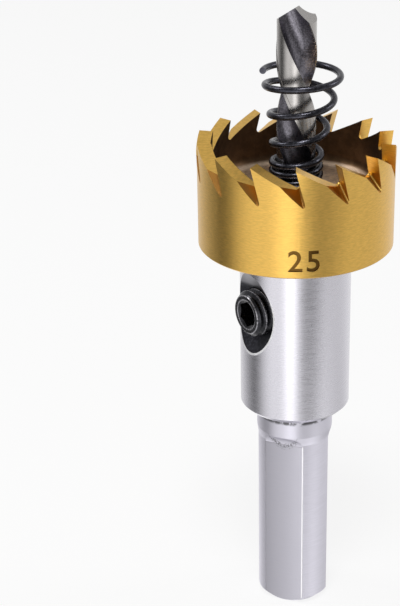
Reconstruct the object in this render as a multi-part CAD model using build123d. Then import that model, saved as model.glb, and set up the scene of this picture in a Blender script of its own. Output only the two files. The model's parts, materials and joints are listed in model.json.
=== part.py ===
from build123d import *
import math
import os

# A 25 mm hole saw, standing on the end of its shank: a toothed cutter cup on a turned arbor, with a
# pilot drill, the grub screw that clamps the drill, and the conical spring that throws the slug out.
# The origin is the centre of the shank's end face, +Z runs to the drill's point, and lengths are in mm.
# The front is -Y. A bearing is an angle from the front, positive towards +X.
# The saw cuts towards negative bearings: clockwise, seen from the cutting end.

# Shank, with three flats for the jaws of a chuck
shank_diameter = 9.65
shank_length = 29.3
shank_chamfer = 0.9
flat_count = 3
flat_depth = 0.78
flat_bearing = -19.5
flat_neck = 4.9          # from the collar down to where the flats reach full depth
flat_runout = 1.8        # radius that the milling cutter leaves at the top of a flat
neck_diameter = 10.0
neck_length = 3.3        # round stretch above the flats, with its groove
neck_taper_length = 1.2
neck_groove_width = 0.4
neck_groove_depth = 0.2

# Collar
collar_diameter = 14.3
collar_length = 22.9
collar_chamfer = 0.6

# Cutter cup
cut_diameter = 25.0      # across the tooth tips
side_relief = 0.1        # the wall stands this far inside the tips
relief_height = 4.0      # the wall leans out to the tips over this height
cup_height = 13.8
cup_wall = 1.7
cup_depth = 7.0          # tooth tips to the inside floor
cup_corner = 1.5         # radius between the floor and the wall
cup_edge = 0.15
stock_allowance = 0.5    # stock above the tips, all cut away with the gullets

# Teeth
tooth_count = 14
rake_angle = 14.5
land_angle = 28.5
gullet_radius = 0.4
pocket_drop = 1.95       # the chip pocket's low corner, below the gullet at the outer wall
pocket_angle = 44.0      # rise of the pocket's floor along the wall
pocket_radius = 0.25

# Spigot that carries the cup
spigot_diameter = 9.5
spigot_clearance = 0.02

# Pilot drill
pilot_diameter = 5.0
pilot_lead = 16.5        # the drill's point leads the tooth tips by this much
pilot_point_angle = 120.0
pilot_relief_angle = 19.0
pilot_twist_length = 31.0    # one full turn of the flutes
pilot_web = 0.85
pilot_lip_round = 0.9    # the flute's straight face ends this far from the axis and its round back begins
flute_angle = 98.0
flute_overlap = 5.0      # the flutes end this far below the cup's floor
margin_width = 0.4
margin_height = 0.07
lip_bearing = 36.0       # bearing of one outer corner of the point
pilot_end_chamfer = 0.3
socket_depth = 17.0      # from the collar's top face down to the foot of the drill's socket
socket_clearance = 0.03
socket_cone_angle = 118.0

# Grub screw and its countersunk, tapped hole
screw_diameter = 6.0
screw_clearance = 0.05
screw_length = 5.2
screw_bearing = -54.0
screw_drop = 8.4         # below the cup's back face
screw_chamfer = 0.5
screw_tip_gap = 0.03
hex_across_flats = 3.0
hex_depth = 2.4
hex_chamfer = 0.2
countersink_diameter = 10.8
countersink_angle = 118.0

# Ejector spring
wire_diameter = 0.85
spring_clearance = 0.06
spring_top_radius = 4.78
spring_rise = 8.4        # centre of the topmost wire above the tooth tips
spring_lean = 0.6        # the free end leans this far off the axis
spring_lean_foot = -2.9  # height above the tooth tips at which the lean starts
open_pitch_length = 3.75
end_pitch_length = 1.1   # pitch of the closed turns at both ends
top_turns = 0.8          # closed turns at the free end
open_turns = 2.7
opening_turns = 0.5      # the pitch opens over this much of a turn
closing_turns = 0.9
cone_start = 0.6
cone_turns = 3.2
wire_end_bearing = -97.0
seat_gap = 0.02
points_per_turn = 16

# Derived levels and radii
collar_bottom = shank_length
cup_base = shank_length + collar_length
cup_floor = cup_base + cup_height - cup_depth
tip_level = cup_base + cup_height
point_level = tip_level + pilot_lead
screw_level = cup_base - screw_drop
shank_radius = shank_diameter / 2
collar_radius = collar_diameter / 2
tip_radius = cut_diameter / 2
wall_radius = tip_radius - side_relief
inner_radius = wall_radius - cup_wall
pilot_radius = pilot_diameter / 2
socket_radius = pilot_radius + socket_clearance
socket_foot = cup_base - socket_depth
pitch_angle = 360 / tooth_count
block = 2 * cut_diameter


def tan(degrees):
    return math.tan(math.radians(degrees))


def sin(degrees):
    return math.sin(math.radians(degrees))


def cos(degrees):
    return math.cos(math.radians(degrees))


def outward(bearing):
    """Unit vector that points away from the axis at a bearing."""
    return Vector(sin(bearing), -cos(bearing), 0)


def along(bearing):
    """Unit vector round the axis at a bearing, towards greater bearings."""
    return Vector(cos(bearing), sin(bearing), 0)


def turned(points):
    """A solid of revolution from its half outline of (radius, height) points."""
    return revolve(Plane.XZ * make_face(Polyline(*points, close=True)), Axis.Z)


# ---------------------------------------------------------------- arbor

def arbor_blank():
    """Shank, neck groove, collar and spigot, turned from one bar."""
    neck_radius = neck_diameter / 2
    neck_foot = collar_bottom - neck_length
    neck_top = collar_bottom - neck_groove_width
    groove_floor = neck_radius - neck_groove_depth
    spigot_radius = spigot_diameter / 2
    return turned([
        (0, 0),
        (shank_radius - shank_chamfer, 0),
        (shank_radius, shank_chamfer),
        (shank_radius, neck_foot - neck_taper_length),
        (neck_radius, neck_foot),
        (neck_radius, neck_top),
        (groove_floor, neck_top),
        (groove_floor, collar_bottom),
        (collar_radius - collar_chamfer, collar_bottom),
        (collar_radius, collar_bottom + collar_chamfer),
        (collar_radius, cup_base),
        (spigot_radius, cup_base),
        (spigot_radius, cup_floor),
        (0, cup_floor),
    ])


def drill_socket():
    """Blind bore for the pilot drill, with the cone that a drill leaves at its foot."""
    cone_height = socket_radius / tan(socket_cone_angle / 2)
    return turned([
        (0, socket_foot - cone_height),
        (socket_radius, socket_foot),
        (socket_radius, cup_floor + stock_allowance),
        (0, cup_floor + stock_allowance),
    ])


def jaw_flat(bearing):
    """What the milling cutter takes off for one flat, with its rounded run-out."""
    flat_radius = shank_radius - flat_depth
    full_level = collar_bottom - flat_neck
    outer = flat_radius + flat_runout
    foot = Line((outer, -stock_allowance), (flat_radius, -stock_allowance))
    face = Line((flat_radius, -stock_allowance), (flat_radius, full_level))
    runout = RadiusArc((flat_radius, full_level), (outer, full_level + flat_runout), flat_runout)
    back = Line((outer, full_level + flat_runout), (outer, -stock_allowance))
    profile = make_face([foot, face, runout, back])
    side_on = Plane(origin=(0, 0, 0), x_dir=outward(bearing), z_dir=-along(bearing))
    return extrude(side_on * profile, shank_radius, both=True)


def screw_hole():
    """Tapped hole through one side of the collar, with its wide countersink."""
    hole_radius = screw_diameter / 2 + screw_clearance
    mouth_radius = countersink_diameter / 2
    slope = tan(countersink_angle / 2)
    cone_start_distance = collar_radius - (mouth_radius - hole_radius) / slope
    cone_end = collar_radius + cup_wall
    end_radius = mouth_radius + (cone_end - collar_radius) * slope
    profile = make_face(Polyline(
        (0, 0),
        (hole_radius, 0),
        (hole_radius, cone_start_distance),
        (end_radius, cone_end),
        (0, cone_end),
        close=True,
    ))
    cutter = revolve(Plane.XZ * profile, Axis.Z)
    return Plane(origin=(0, 0, screw_level), z_dir=outward(screw_bearing)) * cutter


def build_arbor():
    arbor = arbor_blank() - drill_socket() - screw_hole()
    for i in range(flat_count):
        arbor -= jaw_flat(flat_bearing + i * 360 / flat_count)
    return arbor


# ---------------------------------------------------------------- cutter cup

def cup_blank():
    """The cup before its teeth are cut, turned to leave the spigot's bore in its thick floor."""
    bore_radius = spigot_diameter / 2 + spigot_clearance
    stock_top = tip_level + stock_allowance
    outline = make_face(Polyline(
        (bore_radius, cup_base),
        (wall_radius - cup_edge, cup_base),
        (wall_radius, cup_base + cup_edge),
        (wall_radius, tip_level - relief_height),
        (tip_radius, tip_level),
        (tip_radius, stock_top),
        (inner_radius, stock_top),
        (inner_radius, cup_floor),
        (bore_radius, cup_floor),
        close=True,
    ))
    corner = outline.vertices().sort_by_distance(Vector(inner_radius, cup_floor))[0]
    return revolve(Plane.XZ * fillet(corner, cup_corner), Axis.Z)


def half_space(plane):
    """A block that fills the space above a plane, near the plane's origin."""
    return plane * Box(block, block, block, align=(Align.CENTER, Align.CENTER, Align.MIN))


def rake_plane():
    """Front face of the tooth at the front: it holds the cutting edge and leans back below it."""
    normal = -along(0) * cos(rake_angle) - Vector(0, 0, 1) * sin(rake_angle)
    return Plane(origin=(0, 0, tip_level), x_dir=outward(0), z_dir=normal)


def land_plane():
    """Back of the tooth before it, falling from that tooth's own cutting edge."""
    edge_bearing = -pitch_angle
    normal = along(edge_bearing) * sin(land_angle) + Vector(0, 0, 1) * cos(land_angle)
    return Plane(origin=(0, 0, tip_level), x_dir=outward(edge_bearing), z_dir=normal)


def gullet_depth():
    """Depth below the tips at which land and rake face meet on the outer wall."""
    run = tip_radius * sin(pitch_angle)
    return run * tan(land_angle) / (1 - tan(land_angle) * tan(rake_angle))


def pocket_plane():
    """Floor of the chip pocket, falling outward and towards the tooth that it serves."""
    low = gullet_depth() + pocket_drop
    low_corner = Vector(low * tan(rake_angle), -tip_radius, tip_level - low)
    side_slope = pocket_drop / cup_wall
    normal = Vector(tan(pocket_angle), -side_slope, 1)
    return Plane(origin=low_corner, z_dir=normal.normalized())


def wedge(floor_plane, root_radius):
    """The space above a floor and in front of the rake face, with a rounded root."""
    space = half_space(rake_plane()) & half_space(floor_plane)
    root = space.edges().filter_by(lambda edge: lies_on(edge, floor_plane) and lies_on(edge, rake_plane()))
    return fillet(root, root_radius)


def lies_on(edge, plane):
    """Whether a straight edge's middle lies on a plane."""
    return abs(plane.to_local_coords(edge.center()).Z) < 0.001


def build_cup():
    cup = cup_blank()
    gullet = wedge(land_plane(), gullet_radius)
    pocket = wedge(pocket_plane(), pocket_radius)
    tools = []
    for i in range(tooth_count):
        turn = Rot(0, 0, i * pitch_angle)
        tools.append(turn * gullet)
        tools.append(turn * pocket)
    return cup.cut(*tools)


# ---------------------------------------------------------------- pilot drill

def drill_section():
    """Cross-section of the fluted part: two lands, each with a raised margin behind its lip."""
    half_web = pilot_web / 2
    body_radius = pilot_radius - margin_height
    lip_angle = -math.degrees(math.asin(half_web / pilot_radius))
    margin_angle = lip_angle + math.degrees(margin_width / pilot_radius)
    heel_angle = 180 + lip_angle - flute_angle
    lip_corner = Vector(pilot_radius * cos(lip_angle), pilot_radius * sin(lip_angle))
    heel_corner = Vector(body_radius * cos(heel_angle), body_radius * sin(heel_angle))
    next_corner = -lip_corner
    flute_start = Vector(-pilot_lip_round, half_web)

    def at(radius, angle):
        return Vector(radius * cos(angle), radius * sin(angle))

    edges = []
    for side in (0, 180):
        half_turn = Rot(0, 0, side)
        edges.append(half_turn * ThreePointArc(
            lip_corner, at(pilot_radius, (lip_angle + margin_angle) / 2), at(pilot_radius, margin_angle)))
        edges.append(half_turn * Line(at(pilot_radius, margin_angle), at(body_radius, margin_angle)))
        edges.append(half_turn * ThreePointArc(
            at(body_radius, margin_angle), at(body_radius, (margin_angle + heel_angle) / 2), heel_corner))
        edges.append(half_turn * TangentArc(flute_start, heel_corner, tangent=(1, 0, 0)))
        edges.append(half_turn * Line(flute_start, next_corner))
    return make_face(edges)


def fluted_length():
    """Twisted part of the drill, from inside the socket to past the point."""
    foot = cup_floor - flute_overlap
    height = point_level + stock_allowance - foot
    corner_level = point_level - pilot_radius / tan(pilot_point_angle / 2)
    twist_rate = -360 / pilot_twist_length
    lip_at_corner = lip_bearing - 90 + math.degrees(math.asin(pilot_web / 2 / pilot_radius))
    start_angle = lip_at_corner - twist_rate * (corner_level - foot)
    section = Rot(0, 0, start_angle) * drill_section()
    twisted = Solid.extrude_linear_with_rotation(
        section.face(), center=(0, 0, 0), normal=(0, 0, height), angle=twist_rate * height)
    return Pos(0, 0, foot) * twisted


def point_planes():
    """The two ground faces of the point, each falling away behind its own lip."""
    fall = 1 / tan(pilot_point_angle / 2)
    relief = tan(pilot_relief_angle)
    planes = []
    for bearing in (lip_bearing, lip_bearing + 180):
        normal = outward(bearing) * fall + along(bearing) * relief + Vector(0, 0, 1)
        planes.append(Plane(origin=(0, 0, point_level), z_dir=normal.normalized()))
    return planes


def build_pilot_drill():
    foot = cup_floor - flute_overlap
    contact_radius = pilot_radius - pilot_end_chamfer
    end_level = socket_foot - (socket_radius - contact_radius) / tan(socket_cone_angle / 2)
    end_level += seat_gap
    plain = turned([
        (0, end_level),
        (contact_radius, end_level),
        (pilot_radius, end_level + pilot_end_chamfer),
        (pilot_radius, foot),
        (0, foot),
    ])
    drill = plain + fluted_length()
    for plane in point_planes():
        drill -= half_space(plane)
    return drill


# ---------------------------------------------------------------- grub screw

def build_grub_screw():
    """Socket set screw that bears on the plain part of the drill."""
    radius = screw_diameter / 2
    body = Cylinder(radius, screw_length, align=(Align.CENTER, Align.CENTER, Align.MIN))
    body = chamfer(body.edges().filter_by(GeomType.CIRCLE), screw_chamfer)
    hexagon = Pos(0, 0, screw_length) * RegularPolygon(hex_across_flats / 2, 6, major_radius=False)
    body -= extrude(hexagon, -hex_depth)
    mouth_radius = hex_across_flats / 2 / cos(30) + hex_chamfer
    mouth = Cone(0, mouth_radius, mouth_radius / tan(60), align=(Align.CENTER, Align.CENTER, Align.MAX))
    body -= Pos(0, 0, screw_length) * mouth
    seat = outward(screw_bearing) * (pilot_radius + screw_tip_gap) + Vector(0, 0, screw_level)
    return Plane(origin=seat, z_dir=outward(screw_bearing)) * body


# ---------------------------------------------------------------- ejector spring

def ramp(value, start, end):
    """0 before start, 1 after end, and straight between."""
    return min(max((value - start) / (end - start), 0), 1)


def spring_turns_and_heights():
    """Walks down the wire from its free end, turn fraction by turn fraction, to the cup's floor."""
    step = 1 / points_per_turn
    seat_level = cup_floor + wire_diameter / 2 + seat_gap
    turn = 0.0
    height = tip_level + spring_rise
    stations = []
    while height > seat_level:
        stations.append((turn, height))
        middle = turn + step / 2
        opening = ramp(middle, top_turns - opening_turns / 2, top_turns + opening_turns / 2)
        closing_middle = top_turns + open_turns
        closing = ramp(middle, closing_middle - closing_turns / 2, closing_middle + closing_turns / 2)
        height -= step * (end_pitch_length + (open_pitch_length - end_pitch_length) * (opening - closing))
        turn += step
    stations.append((turn, seat_level))
    return stations


def build_spring():
    seat_radius = pilot_radius + spring_clearance + wire_diameter / 2
    stations = spring_turns_and_heights()
    lean_foot = tip_level + spring_lean_foot
    lean_top = tip_level + spring_rise
    points = []
    for turn, height in stations:
        taper = 1 - ramp(turn, cone_start, cone_start + cone_turns)
        radius = seat_radius + (spring_top_radius - seat_radius) * taper ** 1.5
        lift = ramp(height, lean_foot, lean_top)
        centre = Vector(spring_lean * lift * (2 - lift), 0, height)
        points.append(centre + outward(wire_end_bearing - 360 * turn) * radius)
    path = Spline(*points)
    start = Plane(origin=path @ 0, z_dir=path % 0)
    return sweep(start * Circle(wire_diameter / 2), path)


os.makedirs("parts", exist_ok=True)
export_step(build_arbor(), "parts/arbor.step")
export_step(build_cup(), "parts/cutter_cup.step")
export_step(build_pilot_drill(), "parts/pilot_drill.step")
export_step(build_grub_screw(), "parts/grub_screw.step")
export_step(build_spring(), "parts/ejector_spring.step")
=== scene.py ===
"""Dresses the hole saw: its finishes, the thread of its set screw and the number on its cup."""

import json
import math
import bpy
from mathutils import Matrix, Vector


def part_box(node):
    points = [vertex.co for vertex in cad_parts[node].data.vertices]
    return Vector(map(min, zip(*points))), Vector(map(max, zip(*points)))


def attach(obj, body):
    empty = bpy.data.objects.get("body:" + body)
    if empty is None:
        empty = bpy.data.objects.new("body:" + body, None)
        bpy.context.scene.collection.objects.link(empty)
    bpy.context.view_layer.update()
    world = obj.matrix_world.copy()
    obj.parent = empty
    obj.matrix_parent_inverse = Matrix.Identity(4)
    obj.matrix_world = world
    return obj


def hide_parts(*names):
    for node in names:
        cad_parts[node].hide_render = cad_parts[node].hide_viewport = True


bl_info = {
    "name": "Hole saw finish",
    "version": (1, 0, 0),
    "blender": (4, 5, 0),
    "location": "View3D > Sidebar > Hole saw",
    "description": "Finishes a 25 mm hole saw and sets it on a studio floor",
    "category": "Object",
}

import bpy
from mathutils import Matrix, Vector

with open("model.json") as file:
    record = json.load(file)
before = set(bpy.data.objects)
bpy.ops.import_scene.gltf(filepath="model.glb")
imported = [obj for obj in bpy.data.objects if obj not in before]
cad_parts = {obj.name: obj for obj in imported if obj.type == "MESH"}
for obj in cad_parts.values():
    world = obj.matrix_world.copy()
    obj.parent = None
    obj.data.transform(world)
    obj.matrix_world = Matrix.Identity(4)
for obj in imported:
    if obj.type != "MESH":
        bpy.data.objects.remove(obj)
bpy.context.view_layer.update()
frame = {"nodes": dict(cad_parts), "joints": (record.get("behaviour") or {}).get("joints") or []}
MM = 0.001

# Levels, radii and directions of the saw. A bearing is an angle from -Y, positive towards +X.
CUP_LOW, CUP_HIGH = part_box("cutter_cup")
_, ARBOR_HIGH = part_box("arbor")
_, DRILL_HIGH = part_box("pilot_drill")
SCREW_LOW, SCREW_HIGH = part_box("grub_screw")
TIP_LEVEL = CUP_HIGH.z
TIP_RADIUS = CUP_HIGH.y
CUP_BASE = CUP_LOW.z
CUP_FLOOR = ARBOR_HIGH.z
CUP_WALL = TIP_RADIUS - 0.1 * MM        # outside of the wall, below the lean to the tips
CUP_INSIDE = TIP_RADIUS - 1.8 * MM      # inside of the wall
COLLAR_RADIUS = ARBOR_HIGH.x
COLLAR_BOTTOM = 29.3 * MM
DRILL_RADIUS = DRILL_HIGH.x
SHANK_RADIUS = 4.825 * MM
SHANK_FLAT = 4.045 * MM                 # distance of a flat from the saw's axis
FLAT_BEARING = math.radians(-19.5)
FLAT_TOP = 24.4 * MM
SCREW_LEVEL = (SCREW_LOW.z + SCREW_HIGH.z) / 2
SCREW_RADIUS = (SCREW_HIGH.z - SCREW_LOW.z) / 2
SCREW_AXIS = Vector(next(j["axis"] for j in frame["joints"] if j["name"] == "screw_travel"))
COUNTERSINK_RADIUS = 5.4 * MM           # at the collar's outside
COUNTERSINK_SLOPE = 1.66                # tangent of half its angle


def reach(node, direction):
    """Nearest and farthest distance of a node's surface along a direction."""
    distances = [vertex.co.dot(direction) for vertex in frame["nodes"][node].data.vertices]
    return min(distances), max(distances)


SCREW_INNER, SCREW_OUTER = reach("grub_screw", SCREW_AXIS)

# Colours of painted highlights on edges, and of studio surfaces
FLAT_EDGE_GLINT = (0.95, 0.94, 0.97)
RIM_BURR_GLINT = (0.95, 0.95, 0.96)
WHITE = (1.0, 1.0, 1.0)

# Soft panels round the studio, each at a bearing in degrees and with its level of light. The walls of
# the cup and the collar mirror the first row. The shank, seen more from above, mirrors the second.
UPRIGHT_PANELS = (
    (-180, 0.90), (-151, 0.84), (-126, 0.50), (-108, 0.23), (-95, 0.04), (-82, 0.22),
    (-66, 0.84), (-52, 1.20), (-30, 1.06), (-22, 1.28), (-14, 2.20), (-5, 2.35),
    (3, 1.35), (10, 0.64), (18, 0.26), (31, 0.14), (43, 0.22), (56, 0.49),
    (72, 0.66), (110, 0.78), (150, 0.92), (180, 0.94))
TABLE_PANELS = (
    (-180, 1.20), (-150, 1.30), (-120, 0.75), (-95, 0.40), (-70, 0.55), (-45, 0.76),
    (-20, 0.86), (0, 0.82), (20, 0.90), (40, 1.20), (62, 1.50), (80, 1.12),
    (100, 0.74), (122, 0.44), (150, 0.50), (180, 0.80))

# Studio lamps: name, place in metres and power in watts
LAMP_SIZE = 0.2
LAMP_AIM = Vector((0, 0, 0.045))
LAMPS = (
    ("key", (-0.5, 0.1, 0.5), 0.8),
    ("top", (-0.03, -0.27, 0.72), 2.2),
    ("fill", (0.6, 0.1, 0.35), 0.6))


# ---------------------------------------------------------------- settings

class HOLESAW_PG_sizes(bpy.types.PropertyGroup):
    """Sizes of what is added to the solids"""

    thread_pitch: bpy.props.FloatProperty(
        name="Thread pitch", description="Pitch of the set screw's thread",
        default=1.0 * MM, subtype="DISTANCE", unit="LENGTH")
    thread_depth: bpy.props.FloatProperty(
        name="Thread depth", description="Depth of the set screw's thread",
        default=0.58 * MM, subtype="DISTANCE", unit="LENGTH")
    hexagon: bpy.props.FloatProperty(
        name="Hexagon", description="Width across the flats of the set screw's socket",
        default=3.0 * MM, subtype="DISTANCE", unit="LENGTH")
    hexagon_depth: bpy.props.FloatProperty(
        name="Hexagon depth", description="Depth of the set screw's socket",
        default=2.4 * MM, subtype="DISTANCE", unit="LENGTH")
    number_height: bpy.props.FloatProperty(
        name="Number height", description="Height of the figures that give the cutting size",
        default=2.7 * MM, subtype="DISTANCE", unit="LENGTH")
    number_depth: bpy.props.FloatProperty(
        name="Number depth", description="Depth of the stamped figures",
        default=0.16 * MM, subtype="DISTANCE", unit="LENGTH")


class HOLESAW_PG_colours(bpy.types.PropertyGroup):
    """Colours of the finishes"""

    gold: bpy.props.FloatVectorProperty(
        name="Gold coat", description="Hard coat on the cup",
        default=(0.80, 0.495, 0.12), subtype="COLOR", size=3)
    # Painted shade: a darker, browner copy of the gold, laid on the floors of the chip pockets
    pocket: bpy.props.FloatVectorProperty(
        name="Chip pockets", description="Ground floors of the chip pockets, tinted by heat",
        default=(0.38, 0.18, 0.042), subtype="COLOR", size=3)
    steel: bpy.props.FloatVectorProperty(
        name="Turned steel", description="Arbor",
        default=(0.73, 0.715, 0.77), subtype="COLOR", size=3)
    shank: bpy.props.FloatVectorProperty(
        name="Satin steel", description="Shank",
        default=(0.84, 0.82, 0.91), subtype="COLOR", size=3)
    land: bpy.props.FloatVectorProperty(
        name="Ground steel", description="Lands and point of the drill",
        default=(0.48, 0.46, 0.445), subtype="COLOR", size=3)
    flute: bpy.props.FloatVectorProperty(
        name="Flutes", description="Dull flutes of the drill",
        default=(0.19, 0.18, 0.205), subtype="COLOR", size=3)
    scale: bpy.props.FloatVectorProperty(
        name="Inside wall", description="Dark scale on the inside of the cup",
        default=(0.10, 0.058, 0.031), subtype="COLOR", size=3)
    floor: bpy.props.FloatVectorProperty(
        name="Inside floor", description="Turned floor of the cup",
        default=(0.86, 0.66, 0.49), subtype="COLOR", size=3)
    stamp: bpy.props.FloatVectorProperty(
        name="Stamped figures", description="Ground of the stamped size number",
        default=(0.16, 0.085, 0.02), subtype="COLOR", size=3)
    black: bpy.props.FloatVectorProperty(
        name="Black oxide", description="Spring, set screw and countersink",
        default=(0.035, 0.035, 0.042), subtype="COLOR", size=3)


# ---------------------------------------------------------------- shader groups

def new_group(name, inputs, outputs):
    """An empty shader group with float or vector sockets; returns the group, its nodes and both ends."""
    group = bpy.data.node_groups.new(name, "ShaderNodeTree")
    for socket_name, kind, value in inputs:
        socket = group.interface.new_socket(socket_name, in_out="INPUT", socket_type=kind)
        socket.default_value = value
    for socket_name, kind in outputs:
        group.interface.new_socket(socket_name, in_out="OUTPUT", socket_type=kind)
    start = group.nodes.new("NodeGroupInput")
    end = group.nodes.new("NodeGroupOutput")
    return group, start, end


def add(tree, kind, **settings):
    """A node whose attributes and, by name or number, input values are set."""
    node = tree.nodes.new(kind)
    for key, value in settings.items():
        if key.startswith("in_"):
            name = key[3:]
            socket = node.inputs[int(name)] if name.isdigit() else node.inputs[name.replace("_", " ")]
            socket.default_value = value
        else:
            setattr(node, key, value)
    return node


def join(tree, source, target):
    """Links an output socket to an input socket."""
    tree.links.new(source, target)


def maths(tree, operation, first, second=None, third=None):
    """A Math node fed with sockets or numbers; returns its output."""
    node = tree.nodes.new("ShaderNodeMath")
    node.operation = operation
    for index, value in enumerate((first, second, third)):
        if isinstance(value, bpy.types.NodeSocket):
            join(tree, value, node.inputs[index])
        elif value is not None:
            node.inputs[index].default_value = value
    return node.outputs[0]


def smooth_mask(tree, value, low, high):
    """0 below low, 1 above high and smooth between."""
    node = tree.nodes.new("ShaderNodeMapRange")
    node.interpolation_type = "SMOOTHSTEP"
    node.inputs["From Min"].default_value = low
    node.inputs["From Max"].default_value = high
    join(tree, value, node.inputs["Value"])
    return node.outputs["Result"]


def place_parts(tree, coordinate="Object"):
    """The three parts of a texture coordinate."""
    place = add(tree, "ShaderNodeTexCoord")
    parts = add(tree, "ShaderNodeSeparateXYZ")
    join(tree, place.outputs[coordinate], parts.inputs[0])
    return parts.outputs


def radius_of(tree, x, y):
    """Distance from the saw's axis."""
    squares = maths(tree, "MULTIPLY", x, x)
    return maths(tree, "SQRT", maths(tree, "MULTIPLY_ADD", y, y, squares))


def bearing_of(tree, x, y):
    """Angle from the front, -Y, in radians."""
    return maths(tree, "ARCTAN2", x, maths(tree, "MULTIPLY", y, -1.0))


def build_lathe_marks():
    """Short fine streaks that run round the saw's axis, as turning and grinding leave them."""
    group, start, end = new_group(
        "lathe marks",
        [("Round", "NodeSocketFloat", 700.0), ("Upright", "NodeSocketFloat", 9000.0)],
        [("Value", "NodeSocketFloat"), ("Fine", "NodeSocketFloat")])
    stretched = add(group, "ShaderNodeCombineXYZ")
    frequencies = ("Round", "Round", "Upright")
    for part, frequency, target in zip(place_parts(group), frequencies, stretched.inputs):
        join(group, maths(group, "MULTIPLY", part, start.outputs[frequency]), target)
    coarse = add(group, "ShaderNodeTexNoise", in_Scale=1.0, in_Detail=3.0, in_Roughness=0.6)
    fine = add(group, "ShaderNodeTexNoise", in_Scale=3.0, in_Detail=2.0, in_Roughness=0.7)
    join(group, stretched.outputs[0], coarse.inputs["Vector"])
    join(group, stretched.outputs[0], fine.inputs["Vector"])
    join(group, coarse.outputs["Fac"], end.inputs["Value"])
    join(group, fine.outputs["Fac"], end.inputs["Fine"])
    return group


def build_grain():
    """Even grain with no direction, for black, dull and grimy surfaces."""
    group, start, end = new_group(
        "grain",
        [("Size", "NodeSocketFloat", 4000.0)],
        [("Value", "NodeSocketFloat")])
    place = add(group, "ShaderNodeTexCoord")
    noise = add(group, "ShaderNodeTexNoise", in_Detail=4.0, in_Roughness=0.65)
    join(group, place.outputs["Object"], noise.inputs["Vector"])
    join(group, start.outputs["Size"], noise.inputs["Scale"])
    join(group, noise.outputs["Fac"], end.inputs["Value"])
    return group


def build_axis_distance():
    """Distance from the saw's axis, and height."""
    group, _, end = new_group(
        "axis distance", [], [("Radius", "NodeSocketFloat"), ("Height", "NodeSocketFloat")])
    x, y, z = place_parts(group)
    join(group, radius_of(group, x, y), end.inputs["Radius"])
    join(group, z, end.inputs["Height"])
    return group


def build_flat_place():
    """Place on the shank's three flats: how far across the nearest one, and how far out towards it."""
    group, _, end = new_group(
        "flat place", [], [("Across", "NodeSocketFloat"), ("Out", "NodeSocketFloat")])
    x, y, _ = place_parts(group)
    turned = maths(group, "SUBTRACT", bearing_of(group, x, y), FLAT_BEARING)
    half_share = math.pi / 3
    wrapped = maths(group, "WRAP", turned, half_share, -half_share)
    radius = radius_of(group, x, y)
    join(group, maths(group, "MULTIPLY", radius, maths(group, "SINE", wrapped)), end.inputs["Across"])
    join(group, maths(group, "MULTIPLY", radius, maths(group, "COSINE", wrapped)), end.inputs["Out"])
    return group


def build_screw_distance():
    """Distance from the set screw's axis, and distance from the saw's axis along it."""
    group, _, end = new_group(
        "screw distance", [], [("Radius", "NodeSocketFloat"), ("Along", "NodeSocketFloat")])
    place = add(group, "ShaderNodeTexCoord")
    offset = add(group, "ShaderNodeVectorMath", operation="SUBTRACT")
    offset.inputs[1].default_value = (0, 0, SCREW_LEVEL)
    join(group, place.outputs["Object"], offset.inputs[0])
    along = add(group, "ShaderNodeVectorMath", operation="DOT_PRODUCT")
    along.inputs[1].default_value = SCREW_AXIS
    join(group, offset.outputs[0], along.inputs[0])
    across = add(group, "ShaderNodeVectorMath", operation="CROSS_PRODUCT")
    across.inputs[1].default_value = SCREW_AXIS
    join(group, offset.outputs[0], across.inputs[0])
    size = add(group, "ShaderNodeVectorMath", operation="LENGTH")
    join(group, across.outputs[0], size.inputs[0])
    join(group, size.outputs["Value"], end.inputs["Radius"])
    join(group, along.outputs["Value"], end.inputs["Along"])
    return group


GROUP_BUILDERS = {
    "lathe marks": build_lathe_marks,
    "grain": build_grain,
    "axis distance": build_axis_distance,
    "flat place": build_flat_place,
    "screw distance": build_screw_distance,
}


def place_group(tree, name, **values):
    """A shared group, built the first time that it is asked for."""
    group = bpy.data.node_groups.get(name) or GROUP_BUILDERS[name]()
    node = tree.nodes.new("ShaderNodeGroup")
    node.node_tree = group
    for key, value in values.items():
        node.inputs[key].default_value = value
    return node


def new_material(name, **values):
    """A material with one Principled BSDF whose plain sockets hold the given values."""
    material = bpy.data.materials.new(name)
    material.use_nodes = True
    tree = material.node_tree
    shader = tree.nodes["Principled BSDF"]
    for key, value in values.items():
        shader.inputs[key.replace("_", " ")].default_value = value
    return material, tree, shader


def blend_colours(tree, factor, first, second):
    """A Mix node for colours; each of first and second is a colour or a socket."""
    node = tree.nodes.new("ShaderNodeMix")
    node.data_type = "RGBA"
    join(tree, factor, node.inputs[0])
    for socket, value in ((node.inputs[6], first), (node.inputs[7], second)):
        if isinstance(value, bpy.types.NodeSocket):
            join(tree, value, socket)
        else:
            socket.default_value = (*value[:3], 1.0)
    return node.outputs[2]


def opposite(tree, mask):
    """1 where a mask is 0, and 0 where it is 1."""
    return maths(tree, "SUBTRACT", 1.0, mask)


def both(tree, *masks):
    """Where all the masks are 1."""
    product = masks[0]
    for mask in masks[1:]:
        product = maths(tree, "MULTIPLY", product, mask)
    return product


def band_mask(tree, value, middle, half_width):
    """1 on a thin band round the middle value, fading to 0 at its sides."""
    offset = maths(tree, "ABSOLUTE", maths(tree, "SUBTRACT", value, middle))
    return opposite(tree, smooth_mask(tree, offset, half_width * 0.4, half_width))


def shaded(colour, factor):
    """A colour made darker or lighter."""
    return tuple(channel * factor for channel in colour)


def speckle(tree, factor, colour, low, high):
    """A colour that varies with a mask between two shades of itself."""
    return blend_colours(tree, factor, shaded(colour, low), shaded(colour, high))


def fine_relief(tree, height, strength, distance, normal=None):
    """A Bump node for marks too fine to model; returns its normal."""
    bump = add(tree, "ShaderNodeBump", in_Strength=strength, in_Distance=distance)
    join(tree, height, bump.inputs["Height"])
    if normal is not None:
        join(tree, normal, bump.inputs["Normal"])
    return bump.outputs[0]


def brush_round_axis(tree, shader):
    """Lays the shader's stretched highlights round the saw's axis."""
    around = add(tree, "ShaderNodeTangent", direction_type="RADIAL", axis="Z")
    join(tree, around.outputs[0], shader.inputs["Tangent"])


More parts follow.
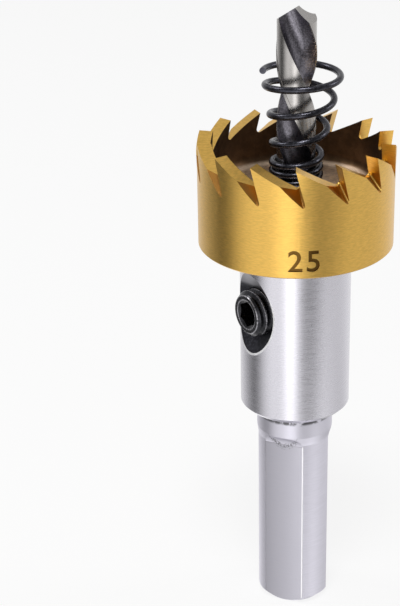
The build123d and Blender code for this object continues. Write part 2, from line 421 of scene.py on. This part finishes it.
# ---------------------------------------------------------------- finishes

def gold_finish(colours):
    """Satin gold coat with fine streaks round the wall; the inside stayed dark from hardening."""
    material, tree, shader = new_material(
        "gold coat", Metallic=1.0, Anisotropic=0.45, Anisotropic_Rotation=0.25)
    marks = place_group(tree, "lathe marks", Round=1500.0, Upright=10000.0)
    streak = smooth_mask(tree, marks.outputs["Value"], 0.32, 0.68)
    gold = speckle(tree, streak, colours.gold, 0.88, 1.06)
    axis = place_group(tree, "axis distance")
    radius, height = axis.outputs["Radius"], axis.outputs["Height"]
    grain = place_group(tree, "grain", Size=900.0)
    scale_spots = smooth_mask(tree, grain.outputs["Value"], 0.35, 0.7)
    dark_wall = speckle(tree, scale_spots, colours.scale, 0.9, 1.35)
    turned_floor = speckle(tree, streak, colours.floor, 0.8, 1.15)
    low = opposite(tree, smooth_mask(tree, height, CUP_FLOOR + 0.02 * MM, CUP_FLOOR + 0.7 * MM))
    inside = both(
        tree,
        maths(tree, "LESS_THAN", radius, CUP_INSIDE + 0.03 * MM),
        maths(tree, "GREATER_THAN", height, CUP_FLOOR - 0.05 * MM))
    coated = blend_colours(tree, inside, gold, blend_colours(tree, low, dark_wall, turned_floor))
    # Painted shade on the floors of the chip pockets
    coated = blend_colours(tree, pocket_mask(tree), coated, colours.pocket)
    stamped = both(
        tree,
        maths(tree, "LESS_THAN", radius, CUP_WALL - 0.05 * MM),
        maths(tree, "LESS_THAN", height, CUP_FLOOR - 1.0 * MM),
        maths(tree, "GREATER_THAN", height, CUP_BASE + 0.3 * MM))
    join(tree, blend_colours(tree, stamped, coated, colours.stamp), shader.inputs["Base Color"])
    rough = maths(tree, "MULTIPLY_ADD", streak, 0.05, 0.30)
    join(tree, maths(tree, "MULTIPLY_ADD", inside, 0.08, rough), shader.inputs["Roughness"])
    join(tree, fine_relief(tree, marks.outputs["Fine"], 0.25, 0.03 * MM), shader.inputs["Normal"])
    brush_round_axis(tree, shader)
    return material


def pocket_mask(tree):
    """The floors of the chip pockets: the only faces that look outward and upward at once."""
    place = add(tree, "ShaderNodeTexCoord")
    faces = add(tree, "ShaderNodeSeparateXYZ")
    join(tree, place.outputs["Normal"], faces.inputs[0])
    level = add(tree, "ShaderNodeVectorMath", operation="MULTIPLY")
    level.inputs[1].default_value = (1, 1, 0)
    join(tree, place.outputs["Object"], level.inputs[0])
    outward = add(tree, "ShaderNodeVectorMath", operation="NORMALIZE")
    join(tree, level.outputs[0], outward.inputs[0])
    lean = add(tree, "ShaderNodeVectorMath", operation="DOT_PRODUCT")
    join(tree, place.outputs["Normal"], lean.inputs[0])
    join(tree, outward.outputs[0], lean.inputs[1])
    upward = smooth_mask(tree, faces.outputs[2], 0.3, 0.45)
    return both(tree, upward, smooth_mask(tree, lean.outputs["Value"], 0.4, 0.55))


def steel_finish(colours):
    """Bright turned collar, satin shank with milled flats, and black in countersink and tapped hole."""
    material, tree, shader = new_material(
        "turned steel", Metallic=1.0, Anisotropic=0.3, Anisotropic_Rotation=0.25)
    marks = place_group(tree, "lathe marks", Round=500.0, Upright=12000.0)
    streak = smooth_mask(tree, marks.outputs["Value"], 0.3, 0.7)
    bright = speckle(tree, streak, colours.steel, 0.95, 1.0)
    height = place_group(tree, "axis distance").outputs["Height"]
    shank = maths(tree, "LESS_THAN", height, COLLAR_BOTTOM - 0.02 * MM)
    satin = speckle(tree, streak, colours.shank, 0.92, 1.0)
    # Painted shade: the satin steel of the neck is darkened
    neck = smooth_mask(tree, height, FLAT_TOP + 0.3 * MM, FLAT_TOP + 1.2 * MM)
    satin = blend_colours(tree, neck, satin, shaded(colours.shank, 0.88))
    colour = blend_colours(tree, shank, bright, satin)

    # Painted shade: a near-black copy of the steel, used under the flats' shoulders and under the collar
    painted_shade = shaded(colours.steel, 0.2)
    milled, edge, shoulder_shadow, crown = flat_masks(tree)
    # Painted shade: the flats take a darker copy of the shank's satin steel
    colour = blend_colours(tree, milled, colour, shaded(colours.shank, 0.62))
    # Painted highlight along one edge of each flat
    colour = blend_colours(tree, edge, colour, FLAT_EDGE_GLINT)
    # Painted shadow under the shoulder at the top of each flat
    colour = blend_colours(tree, shoulder_shadow, colour, painted_shade)
    colour = blend_colours(tree, grime_mask(tree, height, shank), colour, painted_shade)

    hole, rim = countersink_masks(tree)
    # Painted highlight on the burr round the countersink's lower rim
    colour = blend_colours(tree, rim, colour, RIM_BURR_GLINT)
    # The countersink and tapped hole are speckled black, turning lighter grey towards the countersink's
    # top
    grain = place_group(tree, "grain", Size=2500.0)
    spots = smooth_mask(tree, grain.outputs["Value"], 0.4, 0.7)
    speckled_black = speckle(tree, spots, colours.black, 1.0, 2.2)
    countersink_top = smooth_mask(tree, height, SCREW_LEVEL + 2.9 * MM, SCREW_LEVEL + 3.7 * MM)
    lining = blend_colours(tree, countersink_top, speckled_black, shaded(colours.steel, 0.4))
    join(tree, blend_colours(tree, hole, colour, lining), shader.inputs["Base Color"])

    rough = maths(tree, "MULTIPLY_ADD", streak, 0.08, 0.24)
    rough = maths(tree, "MULTIPLY_ADD", shank, 0.16, rough)
    rough = maths(tree, "MULTIPLY_ADD", rim, 0.45, rough)
    join(tree, maths(tree, "MULTIPLY_ADD", hole, 0.12, rough), shader.inputs["Roughness"])

    rim_height = 0.04 * MM
    raised = maths(tree, "MULTIPLY_ADD", rim, rim_height, crown)
    crowned = fine_relief(tree, raised, 1.0, 1.0)
    normal = fine_relief(tree, marks.outputs["Fine"], 0.15, 0.03 * MM, crowned)
    join(tree, normal, shader.inputs["Normal"])
    brush_round_axis(tree, shader)
    return material


def grime_mask(tree, height, shank):
    """Broken painted shade in the corner where the neck meets the collar."""
    grain = place_group(tree, "grain", Size=700.0)
    under = smooth_mask(tree, height, COLLAR_BOTTOM - 1.5 * MM, COLLAR_BOTTOM - 1.1 * MM)
    return both(tree, under, smooth_mask(tree, grain.outputs["Value"], 0.40, 0.52), shank)


def flat_masks(tree):
    """Masks of the flats, the painted highlight along one edge, the painted shadow under the shoulder at
    the top, and the crown's height.
    """
    flat = place_group(tree, "flat place")
    across, out = flat.outputs["Across"], flat.outputs["Out"]
    height = place_group(tree, "axis distance").outputs["Height"]
    below_top = maths(tree, "LESS_THAN", height, FLAT_TOP + 0.2 * MM)
    off_flat = maths(tree, "ABSOLUTE", maths(tree, "SUBTRACT", out, SHANK_FLAT))
    milled = both(tree, maths(tree, "LESS_THAN", off_flat, 0.03 * MM), below_top)

    # The painted shadow under the shoulder at a flat's top bends down at both sides of the flat
    bend, crown_curve = -350.0, -46.0
    squared = maths(tree, "MULTIPLY", across, across)
    level = maths(tree, "MULTIPLY_ADD", squared, bend, height)
    first = band_mask(tree, level, FLAT_TOP, 0.42 * MM)
    second = band_mask(tree, level, FLAT_TOP - 0.50 * MM, 0.18 * MM)
    lines = maths(tree, "MULTIPLY_ADD", second, 0.4, first)
    grain = place_group(tree, "grain", Size=4200.0)
    broken = smooth_mask(tree, grain.outputs["Value"], 0.42, 0.62)
    near = opposite(tree, smooth_mask(tree, squared, (1.5 * MM) ** 2, (2.2 * MM) ** 2))
    runout = maths(tree, "LESS_THAN", out, SHANK_FLAT + 0.6 * MM)
    # Painted shadow lines under the shoulder, broken by grain
    shoulder_shadow = both(tree, lines, broken, near, runout)

    # Painted highlight along one edge of each flat
    half_width = math.sqrt(SHANK_RADIUS ** 2 - SHANK_FLAT ** 2)
    edge = both(
        tree,
        band_mask(tree, across, half_width - 0.03 * MM, 0.12 * MM),
        maths(tree, "LESS_THAN", off_flat, 0.08 * MM),
        below_top)
    crown = both(tree, maths(tree, "MULTIPLY", squared, crown_curve), milled)
    return milled, edge, shoulder_shadow, crown


def countersink_masks(tree):
    """What lies inside the countersink, and the thin band round its lower rim: a raised burr with a
    painted highlight.
    """
    screw = place_group(tree, "screw distance")
    along = screw.outputs["Along"]
    mouth_at_axis = COUNTERSINK_RADIUS + 0.05 * MM - COUNTERSINK_SLOPE * COLLAR_RADIUS
    mouth = maths(tree, "MULTIPLY_ADD", along, COUNTERSINK_SLOPE, mouth_at_axis)
    gap = maths(tree, "SUBTRACT", screw.outputs["Radius"], mouth)
    outer = maths(tree, "GREATER_THAN", along, DRILL_RADIUS)
    hole = both(tree, maths(tree, "LESS_THAN", gap, 0.0), outer)
    height = place_group(tree, "axis distance").outputs["Height"]
    lower = opposite(tree, smooth_mask(
        tree, height, SCREW_LEVEL + 1.0 * MM, SCREW_LEVEL + 4.0 * MM))
    rim = both(tree, band_mask(tree, gap, 0.12 * MM, 0.24 * MM), lower, outer)
    return hole, rim


def drill_finish(colours):
    """Ground lands and point, and dull dark flutes."""
    material, tree, shader = new_material("drill steel", Metallic=1.0)
    radius = place_group(tree, "axis distance").outputs["Radius"]
    land = smooth_mask(tree, radius, DRILL_RADIUS - 0.2 * MM, DRILL_RADIUS - 0.14 * MM)
    _, _, upward = place_parts(tree, "Normal")
    point = smooth_mask(tree, upward, 0.6, 0.66)
    ground = maths(tree, "MAXIMUM", land, point)
    grain = place_group(tree, "grain", Size=5200.0)
    spots = smooth_mask(tree, grain.outputs["Value"], 0.4, 0.64)
    dull = speckle(tree, spots, colours.flute, 0.7, 1.35)
    clean = speckle(tree, spots, colours.land, 0.9, 1.0)
    join(tree, blend_colours(tree, ground, dull, clean), shader.inputs["Base Color"])
    flute_rough = maths(tree, "MULTIPLY_ADD", spots, 0.06, 0.30)
    join(tree, maths(tree, "MULTIPLY_ADD", ground, -0.06, flute_rough), shader.inputs["Roughness"])
    bump = add(tree, "ShaderNodeBump", in_Distance=0.06 * MM)
    join(tree, maths(tree, "MULTIPLY_ADD", ground, -0.15, 0.2), bump.inputs["Strength"])
    join(tree, grain.outputs["Value"], bump.inputs["Height"])
    join(tree, bump.outputs[0], shader.inputs["Normal"])
    return material


def wire_finish(colours):
    """Black oiled spring wire."""
    material, tree, shader = new_material("spring wire", Metallic=1.0)
    grain = place_group(tree, "grain", Size=2500.0)
    spots = smooth_mask(tree, grain.outputs["Value"], 0.35, 0.7)
    join(tree, speckle(tree, spots, colours.black, 1.2, 2.2), shader.inputs["Base Color"])
    join(tree, maths(tree, "MULTIPLY_ADD", spots, 0.08, 0.24), shader.inputs["Roughness"])
    join(tree, fine_relief(tree, grain.outputs["Value"], 0.12, 0.03 * MM), shader.inputs["Normal"])
    return material


def screw_finish(colours):
    """Black oxide, with painted highlights on the thread's crests and on the edges of the end face."""
    material, tree, shader = new_material(
        "black oxide", Metallic=0.9, Coat_Weight=0.3, Coat_Roughness=0.15)
    grain = place_group(tree, "grain", Size=3500.0)
    spots = smooth_mask(tree, grain.outputs["Value"], 0.35, 0.7)
    oxide = speckle(tree, spots, colours.black, 0.5, 1.2)
    screw = place_group(tree, "screw distance")
    radius, along = screw.outputs["Radius"], screw.outputs["Along"]
    crest = smooth_mask(tree, radius, SCREW_RADIUS - 0.09 * MM, SCREW_RADIUS - 0.01 * MM)
    end = maths(tree, "GREATER_THAN", along, SCREW_OUTER - 0.12 * MM)
    face_edge = band_mask(tree, radius, SCREW_RADIUS - 0.52 * MM, 0.1 * MM)
    socket_edge = band_mask(tree, radius, 1.97 * MM, 0.12 * MM)
    edges = both(tree, maths(tree, "MAXIMUM", face_edge, socket_edge), end)
    patches = smooth_mask(tree, grain.outputs["Value"], 0.3, 0.55)
    # Painted highlights on the thread's crests and the end face's edges, broken into patches
    painted_glints = both(tree, maths(tree, "MAXIMUM", crest, edges), patches)
    colour = blend_colours(tree, painted_glints, oxide, shaded(colours.steel, 0.6))
    join(tree, colour, shader.inputs["Base Color"])
    join(tree, maths(tree, "MULTIPLY_ADD", spots, 0.12, 0.24), shader.inputs["Roughness"])
    join(tree, fine_relief(tree, grain.outputs["Value"], 0.15, 0.03 * MM), shader.inputs["Normal"])
    return material


# ---------------------------------------------------------------- modelling helpers

def only(piece):
    """Makes one object the selected and active one."""
    bpy.ops.object.select_all(action="DESELECT")
    piece.select_set(True)
    bpy.context.view_layer.objects.active = piece


def apply_place(piece):
    """Puts an object's place, turn and scale into its mesh."""
    only(piece)
    bpy.ops.object.transform_apply(location=True, rotation=True, scale=True)


def apply_modifiers(piece):
    """Applies an object's modifiers in their order."""
    only(piece)
    for name in [modifier.name for modifier in piece.modifiers]:
        bpy.ops.object.modifier_apply(modifier=name)


def cut(piece, tool, operation="DIFFERENCE", crosses_itself=False):
    """Applies one exact boolean and removes its tool."""
    modifier = piece.modifiers.new("cut", "BOOLEAN")
    modifier.operation = operation
    modifier.object = tool
    modifier.solver = "EXACT"
    modifier.use_self = crosses_itself
    apply_modifiers(piece)
    bpy.data.objects.remove(tool)


def copy_node(name, piece_name):
    """A merged copy of a CAD node's mesh, to be worked on."""
    source = frame["nodes"][name]
    piece = source.copy()
    piece.data = source.data.copy()
    piece.parent = None
    piece.matrix_world = Matrix.Identity(4)
    piece.name = piece_name
    bpy.context.scene.collection.objects.link(piece)
    only(piece)
    bpy.ops.mesh.customdata_custom_splitnormals_clear()
    bpy.ops.object.mode_set(mode="EDIT")
    bpy.ops.mesh.select_all(action="SELECT")
    bpy.ops.mesh.remove_doubles(threshold=0.0005 * MM)
    bpy.ops.object.mode_set(mode="OBJECT")
    return piece


def smooth(piece, degrees=30):
    """Shades faces smooth that meet at less than the angle."""
    only(piece)
    bpy.ops.object.shade_smooth_by_angle(angle=math.radians(degrees))


def dress(piece, material):
    """Gives a piece its one material."""
    piece.data.materials.clear()
    piece.data.materials.append(material)


# ---------------------------------------------------------------- operators

class HOLESAW_OT_cup(bpy.types.Operator):
    """Stamps the cutting size into the cup and gives it its gold coat"""

    bl_idname = "holesaw.cup"
    bl_label = "Finish the cup"

    def execute(self, context):
        sizes = context.scene.holesaw_sizes
        cup = copy_node("cutter_cup", "stamped_cup")
        cut(cup, self.figures(sizes))
        smooth(cup)
        dress(cup, gold_finish(context.scene.holesaw_colours))
        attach(cup, "arbor")
        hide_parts("cutter_cup")
        return {"FINISHED"}

    def figures(self, sizes):
        """The cutting size as raised figures, wrapped round the wall just above the cup's base."""
        figure_share = 0.7      # height of a figure as a share of the font's size
        bearing = math.radians(5)
        foot = CUP_BASE + 1.0 * MM
        bpy.ops.object.select_all(action="DESELECT")
        bpy.ops.object.text_add(location=(0, 0, 0))
        text = bpy.context.object
        text.data.body = str(round(2 * TIP_RADIUS / MM))
        text.data.size = sizes.number_height / figure_share
        text.data.align_x = "CENTER"
        text.data.extrude = sizes.number_depth
        text.data.resolution_u = 6
        text.data.space_character = 1.15
        text.data.offset = 0.045 * MM       # bolder strokes
        only(text)
        bpy.ops.object.convert(target="MESH")
        figures = bpy.context.object
        figures.name = "figures"
        for vertex in figures.data.vertices:
            angle = bearing + vertex.co.x / CUP_WALL
            radius = CUP_WALL + vertex.co.z
            level = foot + vertex.co.y
            vertex.co = Vector((radius * math.sin(angle), -radius * math.cos(angle), level))
        return figures


class HOLESAW_OT_arbor(bpy.types.Operator):
    """Gives the arbor its turned steel and its black countersink"""

    bl_idname = "holesaw.arbor"
    bl_label = "Finish the arbor"

    def execute(self, context):
        dress(frame["nodes"]["arbor"], steel_finish(context.scene.holesaw_colours))
        return {"FINISHED"}


class HOLESAW_OT_drill(bpy.types.Operator):
    """Gives the pilot drill its ground lands and dull flutes"""

    bl_idname = "holesaw.drill"
    bl_label = "Finish the pilot drill"

    def execute(self, context):
        dress(frame["nodes"]["pilot_drill"], drill_finish(context.scene.holesaw_colours))
        return {"FINISHED"}


class HOLESAW_OT_spring(bpy.types.Operator):
    """Gives the spring its black finish"""

    bl_idname = "holesaw.spring"
    bl_label = "Finish the spring"

    def execute(self, context):
        dress(frame["nodes"]["ejector_spring"], wire_finish(context.scene.holesaw_colours))
        return {"FINISHED"}


class HOLESAW_OT_screw(bpy.types.Operator):
    """Models the set screw with its thread and hexagon socket"""

    bl_idname = "holesaw.screw"
    bl_label = "Model the set screw"

    def execute(self, context):
        sizes = context.scene.holesaw_sizes
        length = SCREW_OUTER - SCREW_INNER
        blank = self.envelope(length)
        cut(blank, self.socket(sizes, length))
        screw = self.thread(sizes, length)
        cut(screw, blank, "INTERSECT", crosses_itself=True)
        smooth(screw, 25)
        screw.matrix_world = self.seat()
        apply_place(screw)
        dress(screw, screw_finish(context.scene.holesaw_colours))
        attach(screw, "grub_screw")
        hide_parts("grub_screw")
        return {"FINISHED"}

    def thread(self, sizes, length):
        """A threaded rod along Z, swept from one tooth of the thread by a screw modifier."""
        pitch = sizes.thread_pitch
        middle = SCREW_RADIUS - sizes.thread_depth / 2
        start = -2 * pitch
        crest_share = 0.16      # width of the crest as a share of the pitch
        steps = 48
        bpy.ops.object.select_all(action="DESELECT")
        bpy.ops.mesh.primitive_plane_add(size=1, rotation=(math.pi / 2, 0, 0))
        rod = bpy.context.object
        rod.name = "threaded_screw"
        rod.scale = (sizes.thread_depth, pitch, 1)
        rod.location = (middle, 0, start)
        apply_place(rod)
        bpy.ops.object.mode_set(mode="EDIT")
        bpy.ops.mesh.select_all(action="SELECT")
        bpy.ops.mesh.delete(type="ONLY_FACE")
        bpy.ops.mesh.select_all(action="DESELECT")
        bpy.ops.object.mode_set(mode="OBJECT")
        for edge in rod.data.edges:
            edge.select = all(rod.data.vertices[i].co.x < middle for i in edge.vertices)
        bpy.ops.object.mode_set(mode="EDIT")
        bpy.ops.mesh.select_mode(type="EDGE")
        bpy.ops.mesh.delete(type="EDGE")
        bpy.ops.object.mode_set(mode="OBJECT")
        for vertex in rod.data.vertices:
            if vertex.co.x > middle:
                vertex.co.z = start + (vertex.co.z - start) * crest_share
        turns = rod.modifiers.new("turns", "SCREW")
        turns.axis = "Z"
        turns.angle = 2 * math.pi
        turns.screw_offset = pitch
        turns.iterations = math.ceil(length / pitch) + 4
        turns.steps = turns.render_steps = steps
        turns.use_merge_vertices = True
        turns.merge_threshold = 0.001 * MM
        apply_modifiers(rod)
        for side in (-1, 1):
            self.close_end(rod, side, length / 2)
        bpy.ops.object.mode_set(mode="EDIT")
        bpy.ops.mesh.select_all(action="SELECT")
        bpy.ops.mesh.normals_make_consistent(inside=False)
        bpy.ops.object.mode_set(mode="OBJECT")
        return rod

    def close_end(self, rod, side, middle):
        """Draws the open edge of one end together in the rod's axis."""
        bpy.ops.object.mode_set(mode="EDIT")
        bpy.ops.mesh.select_mode(type="VERT")
        bpy.ops.mesh.select_all(action="DESELECT")
        bpy.ops.mesh.select_non_manifold()
        bpy.ops.object.mode_set(mode="OBJECT")
        for vertex in rod.data.vertices:
            vertex.select = vertex.select and (vertex.co.z - middle) * side > 0
        bpy.ops.object.mode_set(mode="EDIT")
        bpy.ops.mesh.extrude_edges_move()
        bpy.ops.mesh.merge(type="CENTER")
        bpy.ops.object.mode_set(mode="OBJECT")

    def envelope(self, length):
        """The plain chamfered blank that the thread is cut on, a little wider than the crests."""
        radius = SCREW_RADIUS + 0.03 * MM
        bpy.ops.object.select_all(action="DESELECT")
        bpy.ops.mesh.primitive_cylinder_add(
            vertices=96, radius=radius, depth=length, location=(0, 0, length / 2))
        blank = bpy.context.object
        apply_place(blank)
        bevel = blank.modifiers.new("chamfer", "BEVEL")
        bevel.width = 0.55 * MM
        bevel.limit_method = "ANGLE"
        bevel.angle_limit = math.radians(60)
        apply_modifiers(blank)
        return blank

    def socket(self, sizes, length):
        """The hexagon to be cut out, with a small cone as its lead-in."""
        corner = sizes.hexagon / 2 / math.cos(math.pi / 6)
        lead_in = corner + 0.22 * MM
        cone_radius = 2 * lead_in
        cone_slope = math.tan(math.radians(60))
        bpy.ops.object.select_all(action="DESELECT")
        bpy.ops.mesh.primitive_cylinder_add(
            vertices=6, radius=corner, depth=2 * sizes.hexagon_depth, location=(0, 0, length))
        hexagon = bpy.context.object
        apply_place(hexagon)
        bpy.ops.object.select_all(action="DESELECT")
        bpy.ops.mesh.primitive_cone_add(
            vertices=64, radius1=0, radius2=cone_radius, depth=cone_radius / cone_slope,
            location=(0, 0, length))
        cone = bpy.context.object
        apply_place(cone)
        cut(hexagon, cone, "UNION")
        return hexagon

    def seat(self):
        """Turns local Z to the screw's axis and puts the inner end where the solid has it."""
        turn = SCREW_AXIS.to_track_quat("Z", "Y").to_matrix().to_4x4()
        return Matrix.Translation(SCREW_AXIS * SCREW_INNER + Vector((0, 0, SCREW_LEVEL))) @ turn


class HOLESAW_OT_stage(bpy.types.Operator):
    """Sets the floor, the studio surroundings, the lamps and the camera"""

    bl_idname = "holesaw.stage"
    bl_label = "Set the stage"

    def execute(self, context):
        self.floor()
        self.surroundings(context.scene)
        self.lamps()
        self.camera(context.scene)
        context.scene.view_settings.view_transform = "Standard"
        return {"FINISHED"}

    def floor(self):
        """A pale floor that looks near white to the camera and keeps the saw's shadow."""
        glow_share = 0.8
        bpy.ops.object.select_all(action="DESELECT")
        bpy.ops.mesh.primitive_plane_add(size=6, location=(0, 0, 0))
        floor = bpy.context.object
        floor.name = "studio_floor"
        material, tree, shader = new_material("studio floor", Roughness=0.9)
        shader.inputs["Base Color"].default_value = (0.93, 0.93, 0.93, 1)
        path = add(tree, "ShaderNodeLightPath")
        glow = add(tree, "ShaderNodeEmission", in_Color=(*WHITE, 1), in_Strength=1.0)
        mix = add(tree, "ShaderNodeMixShader")
        seen = maths(tree, "MULTIPLY", path.outputs["Is Camera Ray"], glow_share)
        join(tree, seen, mix.inputs[0])
        join(tree, shader.outputs[0], mix.inputs[1])
        join(tree, glow.outputs[0], mix.inputs[2])
        join(tree, mix.outputs[0], tree.nodes["Material Output"].inputs[0])
        dress(floor, material)
        floor.visible_glossy = False

    def surroundings(self, scene):
        """White to the camera, soft panels and a ceiling in the metal, and plain grey as light."""
        world = bpy.data.worlds.new("studio")
        world.use_nodes = True
        scene.world = world
        tree = world.node_tree
        sky = tree.nodes["Background"]
        x, y, z = place_parts(tree, "Generated")
        share = maths(tree, "MULTIPLY_ADD", bearing_of(tree, x, y), 0.5 / math.pi, 0.5)
        upright = self.panels(tree, share, UPRIGHT_PANELS)
        table = self.panels(tree, share, TABLE_PANELS)
        low = smooth_mask(tree, z, -0.53, -0.475)
        sides = blend_colours(tree, low, table, upright)
        behind = smooth_mask(tree, y, -0.3, 0.3)
        ceiling = blend_colours(tree, behind, shaded(WHITE, 0.22), shaded(WHITE, 0.62))
        above = smooth_mask(tree, z, 0.05, 0.5)
        levels = blend_colours(tree, above, sides, ceiling)
        path = add(tree, "ShaderNodeLightPath")
        mirrored = maths(
            tree, "MAXIMUM", path.outputs["Is Glossy Ray"], path.outputs["Is Transmission Ray"])
        lit = blend_colours(tree, mirrored, shaded(WHITE, 0.4), levels)
        shown = blend_colours(tree, path.outputs["Is Camera Ray"], lit, WHITE)
        join(tree, shown, sky.inputs["Color"])
        sky.inputs["Strength"].default_value = 1.0

    def panels(self, tree, share, bands):
        """A ramp round the saw from bands of bearing and level; returns its colour."""
        ramp = add(tree, "ShaderNodeValToRGB")
        join(tree, share, ramp.inputs[0])
        elements = ramp.color_ramp.elements
        while len(elements) < len(bands):
            elements.new(0.5)
        for element, (degrees, level) in zip(elements, bands):
            element.position = (degrees + 180) / 360
            element.color = (level, level, level, 1)
        return ramp.outputs["Color"]

    def lamps(self):
        """Small square lamps, all aimed at the collar."""
        for name, place, power in LAMPS:
            bpy.ops.object.light_add(type="AREA", location=place)
            lamp = bpy.context.object
            lamp.name = name
            lamp.data.shape = "SQUARE"
            lamp.data.size = LAMP_SIZE
            lamp.data.energy = power
            aim = LAMP_AIM - Vector(place)
            lamp.rotation_euler = aim.to_track_quat("-Z", "Y").to_euler()

    def camera(self, scene):
        """The eye stands in front of the saw and above it; the saw is right of the picture's middle."""
        distance, rise = 197.55 * MM, 67.55 * MM
        yaw, pitch, roll = (math.radians(angle) for angle in (-3.584, -24.504, -1.15))
        focal_pixels, picture_height = 1671.2, 606
        level = Vector((math.sin(yaw), math.cos(yaw), 0))
        sight = level * math.cos(pitch) + Vector((0, 0, math.sin(pitch)))
        right = sight.cross(Vector((0, 0, 1))).normalized()
        upward = right.cross(sight)
        side = right * math.cos(roll) + upward * math.sin(roll)
        top = -right * math.sin(roll) + upward * math.cos(roll)
        turn = Matrix((side, top, -sight)).transposed().to_4x4()
        data = bpy.data.cameras.new("camera")
        data.sensor_width = 36
        data.lens = focal_pixels * data.sensor_width / picture_height
        data.clip_start = 0.01
        camera = bpy.data.objects.new("camera", data)
        camera.matrix_world = Matrix.Translation((0, -distance, TIP_LEVEL + rise)) @ turn
        scene.collection.objects.link(camera)
        scene.camera = camera


class HOLESAW_PT_panel(bpy.types.Panel):
    """Lists the steps that finish the hole saw"""

    bl_idname = "HOLESAW_PT_panel"
    bl_label = "Hole saw"
    bl_space_type = "VIEW_3D"
    bl_region_type = "UI"
    bl_category = "Hole saw"

    def draw(self, context):
        for group in (context.scene.holesaw_sizes, context.scene.holesaw_colours):
            for name in group.__annotations__:
                self.layout.prop(group, name)
        for step in STEPS:
            self.layout.operator(step.bl_idname)


STEPS = (
    HOLESAW_OT_stage, HOLESAW_OT_cup, HOLESAW_OT_arbor,
    HOLESAW_OT_drill, HOLESAW_OT_spring, HOLESAW_OT_screw)
CLASSES = (HOLESAW_PG_sizes, HOLESAW_PG_colours, *STEPS, HOLESAW_PT_panel)


def register():
    for cls in CLASSES:
        bpy.utils.register_class(cls)
    bpy.types.Scene.holesaw_sizes = bpy.props.PointerProperty(type=HOLESAW_PG_sizes)
    bpy.types.Scene.holesaw_colours = bpy.props.PointerProperty(type=HOLESAW_PG_colours)


def unregister():
    del bpy.types.Scene.holesaw_colours
    del bpy.types.Scene.holesaw_sizes
    for cls in reversed(CLASSES):
        bpy.utils.unregister_class(cls)


def main():
    register()
    bpy.ops.holesaw.stage()
    bpy.ops.holesaw.cup()
    bpy.ops.holesaw.arbor()
    bpy.ops.holesaw.drill()
    bpy.ops.holesaw.spring()
    bpy.ops.holesaw.screw()


if __name__ == "__main__":
    main()
